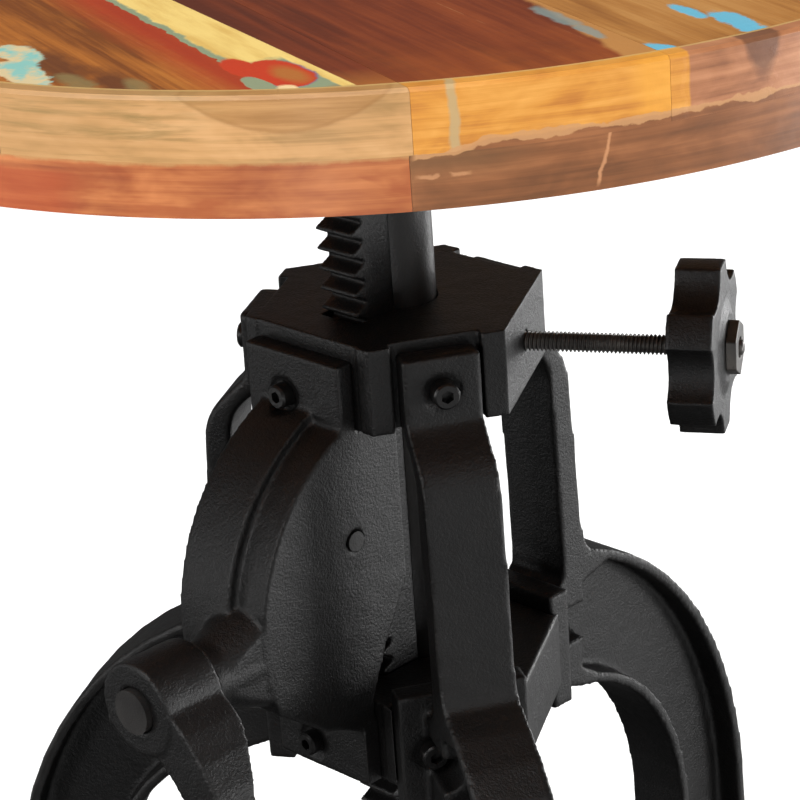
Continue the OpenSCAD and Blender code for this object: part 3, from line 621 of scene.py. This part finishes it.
def rim_fourth(s, side):
    """The orange piece ends here; then pinkish end grain with dark knots hanging from the top edge."""
    orange = s.rim_grain(*tones(ORANGE_RIM))
    side = s.mix(s.step(s.rough_edge(s.azimuth, 0.3), -51.15, -51.35), side, orange)
    below = s.minus(s.rough_edge(s.minus(TOP_Z, s.z), 0.010), 0.004)
    knot = s.step(s.minus(s.arc(-44.9, 1.5, 0.0125), below), -0.003, 0.004)
    side = s.mix(s.times(knot, 0.7), side, tone(0.34, 0.22, 0.16))
    return under_line(s, side, s.rim_grain(*tones(BROWN_EDGE)))


def edge_brown(s, side):
    """A slanting scratch, a short level one, a dusky patch and the filler line along the joint."""
    lean = s.minus(s.azimuth, s.times(s.minus(s.z, JOINT_Z), 60.0))
    scratch = s.both(s.between(s.rough_edge(lean, 0.8), -57.75, -57.50, 0.07),
                     s.step(s.z, JOINT_Z - 0.021, JOINT_Z - 0.018))
    graze = s.both(s.between(s.rough_edge(s.z, 0.005), JOINT_Z - 0.0094, JOINT_Z - 0.0078, 0.0003),
                   s.between(s.azimuth, -72.0, -68.2, 0.3), s.step(s.wobble, 0.42, 0.5))
    bare = s.times(s.most(scratch, graze), 0.75)
    side = s.mix(bare, side, tone(0.76, 0.54, 0.37))
    dusk = s.both(s.step(s.azimuth, -62, -68), s.step(s.z, JOINT_Z - 0.012, JOINT_Z - 0.004))
    side = s.mix(s.times(dusk, 0.45), side, tone(0.42, 0.31, 0.19))
    return under_line(s, side, side)


def edge_red(s, side):
    """Darker red patches, a tan smear along the joint and a red stretch at the left."""
    patch = s.step(s.rim_streaks(24, 90, 3), 0.50, 0.60)
    side = s.mix(s.times(patch, 0.5), side, tone(0.56, 0.26, 0.12))
    tan = s.step(s.rough_edge(s.z, -0.0040), JOINT_Z - 0.0016, JOINT_Z - 0.0002)
    side = s.mix(s.times(tan, 0.8), side, tone(0.68, 0.51, 0.31))
    lower = s.step(s.rough_edge(s.z, 0.004), JOINT_Z - 0.004, JOINT_Z - 0.006)
    red = s.both(s.step(s.azimuth, -96.5, -99.5), lower)
    return s.mix(s.times(red, 0.6), side, tone(0.62, 0.26, 0.12))


# Colours are dark, middle and light. Each plank: where its grain is cut from the noise, the colours
# of its face and of its rim, and what marks they carry
ORANGE_RIM = [(0.68, 0.42, 0.155), (0.78, 0.525, 0.20), (0.84, 0.60, 0.28)]
PLANKS = {
    "plank_1": (1.7, [(0.35, 0.20, 0.10), (0.48, 0.30, 0.16), (0.58, 0.40, 0.23)],
                [(0.38, 0.23, 0.13), (0.52, 0.34, 0.20), (0.61, 0.43, 0.26)], None, None),
    "plank_2": (3.1, [(0.45, 0.24, 0.08), (0.63, 0.37, 0.135), (0.73, 0.46, 0.19)],
                [(0.62, 0.47, 0.28), (0.73, 0.55, 0.345), (0.79, 0.61, 0.41)], decorate_second, rim_second),
    "plank_3": (5.3, [(0.32, 0.135, 0.065), (0.42, 0.18, 0.08), (0.51, 0.24, 0.105)],
                ORANGE_RIM, decorate_third, rim_third),
    "plank_4": (7.9, [(0.54, 0.34, 0.15), (0.64, 0.43, 0.205), (0.71, 0.51, 0.28)],
                [(0.52, 0.33, 0.21), (0.64, 0.42, 0.28), (0.72, 0.50, 0.35)], decorate_fourth, rim_fourth),
    "plank_5": (9.2, [(0.35, 0.18, 0.09), (0.49, 0.28, 0.14), (0.60, 0.38, 0.20)],
                [(0.41, 0.23, 0.13), (0.54, 0.32, 0.18), (0.63, 0.41, 0.25)], None, None),
    "plank_6": (11.4, [(0.53, 0.36, 0.20), (0.65, 0.47, 0.28), (0.73, 0.56, 0.35)],
                [(0.52, 0.37, 0.22), (0.65, 0.48, 0.30), (0.72, 0.57, 0.38)], None, None),
    "plank_7": (13.6, [(0.28, 0.16, 0.09), (0.38, 0.22, 0.12), (0.49, 0.31, 0.18)],
                [(0.31, 0.18, 0.11), (0.43, 0.27, 0.16), (0.52, 0.36, 0.23)], None, None),
}

# The lower ring's boards in order round the rim: their colours, and what marks they carry. The first
# starts at EDGE_START degrees, and each one's grain is cut EDGE_SHIFT_STEP further on in the noise
BROWN_EDGE = [(0.42, 0.26, 0.145), (0.50, 0.31, 0.175), (0.58, 0.37, 0.22)]
EDGES = [
    (BROWN_EDGE, edge_brown),
    ([(0.43, 0.26, 0.15), (0.53, 0.33, 0.19), (0.60, 0.40, 0.24)], None),
    ([(0.53, 0.36, 0.19), (0.64, 0.46, 0.26), (0.71, 0.53, 0.33)], None),
    ([(0.38, 0.22, 0.13), (0.49, 0.29, 0.17), (0.57, 0.37, 0.23)], None),
    ([(0.51, 0.30, 0.15), (0.60, 0.38, 0.19), (0.67, 0.45, 0.25)], None),
    ([(0.55, 0.28, 0.145), (0.64, 0.365, 0.195), (0.72, 0.44, 0.25)], edge_red),
]
EDGE_START = -72.5
EDGE_SPAN = 360.0 / len(EDGES)
EDGE_SHIFT = 20.5
EDGE_SHIFT_STEP = 2.3


def edge_material(name, index):
    """One board of the lower ring, its grain along the chord."""
    colours, decorate = EDGES[index]
    middle = EDGE_START + (index + 0.5) * EDGE_SPAN
    s = Wood(name, EDGE_SHIFT + EDGE_SHIFT_STEP * index, math.radians(-middle - 90))
    face, fibre = s.grain(*tones(colours), 0.8)
    side = s.rim_grain(*tones(colours))
    if decorate:
        side = decorate(s, side)
    colour = s.mix(s.step(s.radius, TOP_RADIUS - 0.0008, TOP_RADIUS - 0.0003), face, side)
    return s.finish(colour, fibre)


def batten_material(name):
    """Plain brown wood under the top."""
    s = Wood(name, 41.0)
    face, fibre = s.grain(tone(0.34, 0.22, 0.14), tone(0.46, 0.31, 0.20), tone(0.56, 0.40, 0.27), 1.1)
    return s.finish(face, fibre, coat=0.1)


# ---------------------------------------------------------------- castings


def copy_node(node, name):
    """A new object with a copy of the CAD node's mesh."""
    piece = bpy.data.objects.new(name, nodes[node].data.copy())
    bpy.context.scene.collection.objects.link(piece)
    return piece


def settle(piece):
    """Turns the piece's modifiers into plain mesh."""
    graph = bpy.context.evaluated_depsgraph_get()
    mesh = bpy.data.meshes.new_from_object(piece.evaluated_get(graph))
    piece.modifiers.clear()
    piece.data = mesh


def weld(piece):
    """Joins the CAD mesh's doubled points."""
    made = piece.modifiers.new("weld", "WELD")
    made.merge_threshold = 0.00001


# Castings: voxel size in metres, smoothing passes and height of the skin's lumps in metres
CASTINGS = {
    "leg_front": (0.0016, 4, 0.00012),
    "leg_right": (0.0016, 4, 0.00012),
    "leg_left": (0.0016, 4, 0.00012),
    "upper_hub": (0.0010, 4, 0.00012),
    "lower_hub": (0.0012, 4, 0.00012),
    "gear_housing": (0.0011, 5, 0.00012),
    "crank_arm": (0.0010, 5, 0.00012),
    "star_knob": (0.0010, 5, 0.00012),
    "mounting_plate": (0.0018, 3, 0.00012),
    "rack_bar": (0.0010, 2, 0.00006),
}
COARSE_LUMPS = 95.0
FINE_LUMPS = 260.0


def cast(node, voxel, passes, lump, material):
    """Rebuilds a CAD node as a sand casting: soft edges and a slightly uneven skin."""
    piece = copy_node(node, node + "_casting")
    weld(piece)
    grid = piece.modifiers.new("grid", "REMESH")
    grid.mode = "VOXEL"
    grid.voxel_size = voxel
    grid.adaptivity = 0.0
    smooth = piece.modifiers.new("smooth", "SMOOTH")
    smooth.factor = 0.5
    smooth.iterations = passes
    settle(piece)
    mesh = piece.data
    count = len(mesh.vertices)
    place = np.empty(count * 3, np.float32)
    normal = np.empty(count * 3, np.float32)
    mesh.vertices.foreach_get("co", place)
    mesh.vertices.foreach_get("normal", normal)
    place = place.reshape(-1, 3)
    normal = normal.reshape(-1, 3)
    lumps = [noise.noise(Vector(p) * COARSE_LUMPS) + 0.5 * noise.noise(Vector(p) * FINE_LUMPS)
             for p in place.tolist()]
    place += normal * (np.array(lumps) * lump)[:, None]
    mesh.vertices.foreach_set("co", place.ravel())
    mesh.materials.clear()
    mesh.materials.append(material)
    mesh.shade_smooth()
    mesh.update()
    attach(piece, nodes[node]["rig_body"])
    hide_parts(node)


iron = iron_material("black_iron")
for casting, (voxel_size, smoothing, lump_height) in CASTINGS.items():
    cast(casting, voxel_size, smoothing, lump_height, iron)

# ---------------------------------------------------------------- clamp screw with its thread

THREAD_PITCH = 0.002
THREAD_DEPTH = 0.0011
THREAD_STEPS = 10
THREAD_SIDES = 28
THREAD_FADE = 0.002
CREST_SHARE = 0.12
FLANK_SHARE = 0.70
PILOT_RADIUS = 0.003
PILOT_LENGTH = 0.005
DOME_LENGTH = 0.002


def thread_drop(turn):
    """Share of the thread's depth below its crest, for a part of one turn: flat crest, flank, flat root."""
    rise = abs(2.0 * turn - 1.0)
    return min(1.0, max(0.0, (rise - CREST_SHARE) / FLANK_SHARE))


def threaded_rod(node, material):
    """The clamp screw with a real thread between its plain pilot and its domed end."""
    low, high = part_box(node)
    centre_y, centre_z = (low.y + high.y) / 2, (low.z + high.z) / 2
    radius = (high.z - low.z) / 2
    root = radius - THREAD_DEPTH
    start, end = low.x + PILOT_LENGTH, high.x - DOME_LENGTH
    pilot = [(low.x, 0.0), (low.x, PILOT_RADIUS), (start, PILOT_RADIUS), (start, root)]
    dome = [(end, root), (end + 0.0012, radius - 0.0014), (high.x, radius - 0.0026), (high.x, 0.0)]
    points, faces = [], []

    def ring(x, size_at):
        for side in range(THREAD_SIDES):
            part = side / THREAD_SIDES
            size = size_at(part)
            angle = 2 * math.pi * part
            points.append((x, centre_y + size * math.cos(angle), centre_z + size * math.sin(angle)))

    for x, size in pilot:
        ring(x, lambda part: size)
    count = int((end - start) / (THREAD_PITCH / THREAD_STEPS))
    for i in range(1, count):
        x = start + (end - start) * i / count
        turns = (x - start) / THREAD_PITCH
        fade = min(1.0, (x - start) / THREAD_FADE, (end - x) / THREAD_FADE)
        ring(x, lambda part: radius - THREAD_DEPTH * (1 - fade * (1 - thread_drop((turns + part) % 1.0))))
    for x, size in dome:
        ring(x, lambda part: size)
    total = len(points) // THREAD_SIDES
    for i in range(total - 1):
        for side in range(THREAD_SIDES):
            a, b = i * THREAD_SIDES + side, i * THREAD_SIDES + (side + 1) % THREAD_SIDES
            faces.append((a, b, b + THREAD_SIDES, a + THREAD_SIDES))
    mesh = bpy.data.meshes.new(node + "_thread")
    mesh.from_pydata(points, [], faces)
    mesh.validate()
    mesh.materials.append(material)
    piece = bpy.data.objects.new(node + "_thread", mesh)
    bpy.context.scene.collection.objects.link(piece)
    weld(piece)
    settle(piece)
    piece.data.shade_smooth()
    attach(piece, nodes[node]["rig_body"])
    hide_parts(node)


oxide = metal_material("black_screw", (0.050, 0.048, 0.046), (0.095, 0.086, 0.078), 0.22, 0.7)
threaded_rod("clamp_screw", oxide)

# ---------------------------------------------------------------- finishes for the CAD nodes

EDGE_BREAK = 0.0006
EDGE_STEPS = 3
EDGE_ANGLE = math.radians(32)


def dress(node, material):
    """Gives a CAD node that stays as it is its material."""
    data = nodes[node].data
    data.materials.clear()
    data.materials.append(material)


def soften(node):
    """Broken edges on a CAD node that stays as it is."""
    weld(nodes[node])
    edge = nodes[node].modifiers.new("edge", "BEVEL")
    edge.width = EDGE_BREAK
    edge.segments = EDGE_STEPS
    edge.limit_method = "ANGLE"
    edge.angle_limit = EDGE_ANGLE


bolts = iron_material("black_bolt", grain=0.35, gloss=0.34, rub=0.8)
column_paint = iron_material("column_steel", grain=0.45, gloss=0.34, rub=0.3)
grip_paint = iron_material("grip_iron", grain=0.5, gloss=0.30, rub=0.9)
steel = metal_material("gear_steel", (0.34, 0.33, 0.32), (0.20, 0.19, 0.18), 0.26)
bronze = metal_material("bronze", (0.52, 0.33, 0.13), (0.30, 0.18, 0.07), 0.28)
zinc = metal_material("zinc_steel", (0.62, 0.62, 0.63), (0.42, 0.41, 0.40), 0.24)

FINISHES = [
    (bolts, ["stop_screw", "upper_leg_bolts", "lower_leg_bolts", "housing_bolts", "crank_set_screw"]),
    (bolts, ["pinion_axle", "worm_shaft"]),
    (column_paint, ["column_tube"]),
    (iron, ["column_stop"]),
    (oxide, ["knob_nut"]),
    (grip_paint, ["crank_grip"]),
    (steel, ["rack_pinion", "shaft_collar", "grip_spindle"]),
    (bronze, ["axle_bushes", "crank_bushes", "worm_wheel", "pressure_shoe"]),
    (zinc, ["batten_screws", "plate_screws"]),
    (plastic_material("glide_plastic"), ["foot_glides"]),
]
SOFTENED = ["stop_screw", "upper_leg_bolts", "lower_leg_bolts", "housing_bolts", "knob_nut", "column_stop",
            "shaft_collar", "grip_spindle"]
for finish, names in FINISHES:
    for name in names:
        dress(name, finish)
for name in SOFTENED:
    soften(name)

for name, (shift, top, rim, decorate, decorate_rim) in PLANKS.items():
    dress(name, plank_material(name + "_wood", shift, top, rim, decorate, decorate_rim))
for index in range(len(EDGES)):
    dress(f"edge_board_{index + 1}", edge_material(f"edge_{index + 1}_wood", index))
dress("battens", batten_material("batten_wood"))
